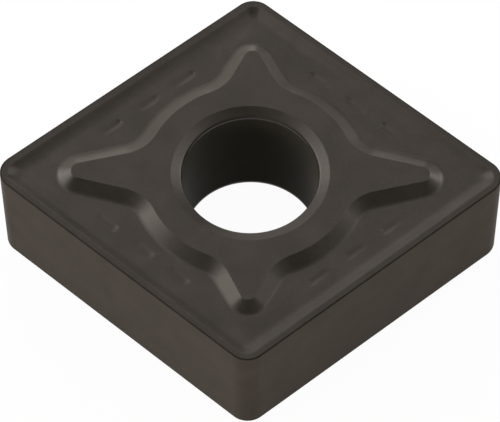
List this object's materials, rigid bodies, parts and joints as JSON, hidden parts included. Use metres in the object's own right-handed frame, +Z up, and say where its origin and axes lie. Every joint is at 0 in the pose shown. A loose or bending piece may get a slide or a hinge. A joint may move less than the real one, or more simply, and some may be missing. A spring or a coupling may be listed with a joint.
{
  "type": "carbide insert",
  "caption": "Double-sided rhombic negative turning insert with chip groove, raised seating star and countersunk clamping hole.",
  "frame": {"origin": "on the hole's axis, in the plane of the lower seating star", "axes": "+Z up along the hole's axis, +X along the long diagonal to an acute corner, +Y along the short diagonal to an obtuse corner"},
  "size_m": [0.0188, 0.016, 0.0049],
  "materials": {
    "coated_carbide": "sintered tungsten carbide with a satin dark grey hard coating"
  },
  "bodies": {
    "root": {"insert_body": "coated_carbide"}
  },
  "joints": []
}
